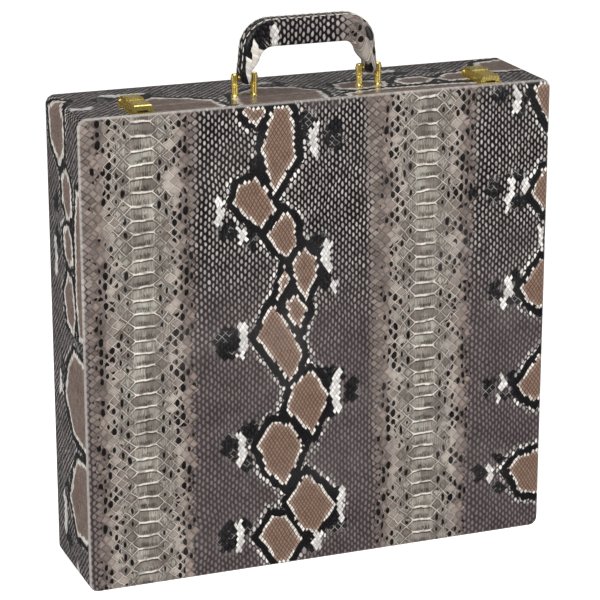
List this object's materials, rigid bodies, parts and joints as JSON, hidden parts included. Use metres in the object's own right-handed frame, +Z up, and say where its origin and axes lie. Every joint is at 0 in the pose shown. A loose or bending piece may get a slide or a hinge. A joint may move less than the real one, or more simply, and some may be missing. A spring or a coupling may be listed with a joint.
{
  "type": "chess box",
  "caption": "Square attache-style chess box in snakeskin-pattern leatherette, with a hinged lid holding the board, a compartment tray, a swinging handle and lever latches.",
  "frame": {"origin": "centre of the face it stands on, midway between its front and back", "axes": "+X along the hinge line and the width, -Y out of the front face (the lid), +Z up towards the handle"},
  "size_m": [0.49, 0.116, 0.554],
  "materials": {
    "snake_leatherette": "glossy embossed snakeskin-pattern leatherette",
    "wood": "raw sawn board",
    "hardboard": "smooth hardboard",
    "velvet": "short-pile velvet",
    "foam": "open-cell foam",
    "dark_veneer": "satin lacquered walnut veneer",
    "light_veneer": "satin lacquered maple veneer",
    "border_veneer": "satin lacquered walnut burr veneer",
    "gilt_brass": "polished gilt brass",
    "spring_steel": "bright steel"
  },
  "bodies": {
    "base": {"base_back_covering": "snake_leatherette", "base_back_panel": "hardboard", "base_bottom_covering": "snake_leatherette", "base_bottom_wall": "wood", "base_left_wall": "wood", "base_lining": "velvet", "base_right_wall": "wood", "base_side_covering": "snake_leatherette", "base_top_wall": "wood", "cross_dividers": "velvet", "foam_bed": "foam", "handle_pins": "gilt_brass", "handle_post_nuts": "spring_steel", "handle_post_washers": "spring_steel", "handle_posts": "gilt_brass", "hinge_base_screws": "gilt_brass", "latch_base_screws": "gilt_brass", "left_hinge_base_leaf": "gilt_brass", "left_hinge_pin": "gilt_brass", "left_latch_base": "gilt_brass", "left_latch_pin": "gilt_brass", "left_latch_spring": "spring_steel", "right_hinge_base_leaf": "gilt_brass", "right_hinge_pin": "gilt_brass", "right_latch_base": "gilt_brass", "right_latch_pin": "gilt_brass", "right_latch_spring": "spring_steel", "tray_floor_cloth": "velvet", "upright_dividers": "velvet"},
    "lid": {"board_border": "border_veneer", "board_corner_bands": "velvet", "board_dark_squares": "dark_veneer", "board_light_squares": "light_veneer", "board_panel": "hardboard", "hinge_lid_screws": "gilt_brass", "latch_catch_screws": "gilt_brass", "left_hinge_lid_leaf": "gilt_brass", "left_latch_catch": "gilt_brass", "lid_bottom_covering": "snake_leatherette", "lid_bottom_wall": "wood", "lid_front_covering": "snake_leatherette", "lid_front_panel": "hardboard", "lid_left_wall": "wood", "lid_lining": "velvet", "lid_right_wall": "wood", "lid_side_covering": "snake_leatherette", "lid_top_wall": "wood", "right_hinge_lid_leaf": "gilt_brass", "right_latch_catch": "gilt_brass"},
    "handle": {"handle_core": "spring_steel", "handle_grip": "snake_leatherette", "handle_bushes": "gilt_brass"},
    "left_latch": {"left_latch_lever": "gilt_brass"},
    "right_latch": {"right_latch_lever": "gilt_brass"}
  },
  "joints": [
    {"name": "lid_hinge", "type": "hinge", "parent": "base", "child": "lid", "pos_m": [0, -0.028, 0.0028], "axis": [1, 0, 0], "range_deg": [0, 90]},
    {"name": "handle_swing", "type": "hinge", "parent": "base", "child": "handle", "pos_m": [0, -0.016, 0.498], "axis": [1, 0, 0], "range_deg": [-88, 88]},
    {"name": "left_latch_lever", "type": "hinge", "parent": "base", "child": "left_latch", "pos_m": [-0.18, -0.011, 0.4846], "axis": [-1, 0, 0], "range_deg": [0, 80]},
    {"name": "right_latch_lever", "type": "hinge", "parent": "base", "child": "right_latch", "pos_m": [0.18, -0.011, 0.4846], "axis": [-1, 0, 0], "range_deg": [0, 80]}
  ]
}
